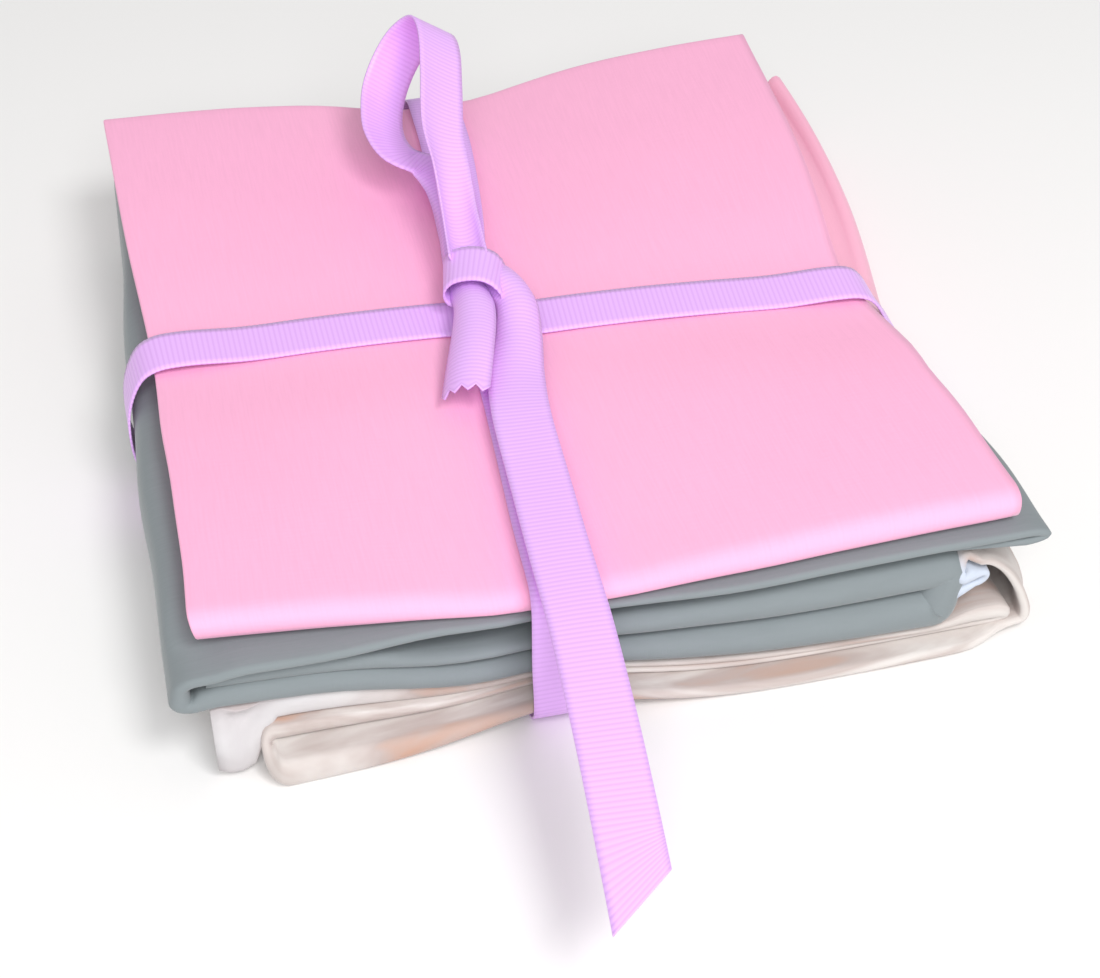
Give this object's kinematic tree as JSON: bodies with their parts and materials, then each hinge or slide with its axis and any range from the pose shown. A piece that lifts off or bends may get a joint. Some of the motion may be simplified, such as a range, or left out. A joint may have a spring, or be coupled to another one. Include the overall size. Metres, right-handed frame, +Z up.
{
  "type": "fat quarter bundle",
  "caption": "Stack of folded cotton fat quarters, pink over grey over a marbled print, tied both ways with lilac grosgrain ribbon ending in a knot with one loop and free ends.",
  "frame": {"origin": "on the surface the bundle lies on, under the middle of the stack", "axes": "+Z up, +X to the right and -Y to the front, the side where the long ribbon end hangs out"},
  "size_m": [0.1493, 0.2188, 0.0577],
  "materials": {
    "pink_cotton": "plain woven cotton, dull",
    "grey_cotton": "plain woven cotton, dull",
    "marbled_cotton": "plain woven cotton with a soft marbled print and a paler reverse",
    "lilac_ribbon": "ribbed grosgrain with a low sheen"
  },
  "bodies": {
    "root": {"pink_cotton": "pink_cotton", "grey_cotton": "grey_cotton", "marbled_cotton": "marbled_cotton", "ribbon_crossways": "lilac_ribbon", "ribbon_lengthways": "lilac_ribbon", "ribbon_knot": "lilac_ribbon", "ribbon_loop": "lilac_ribbon", "ribbon_short_tail": "lilac_ribbon", "ribbon_long_tail": "lilac_ribbon"}
  },
  "joints": []
}
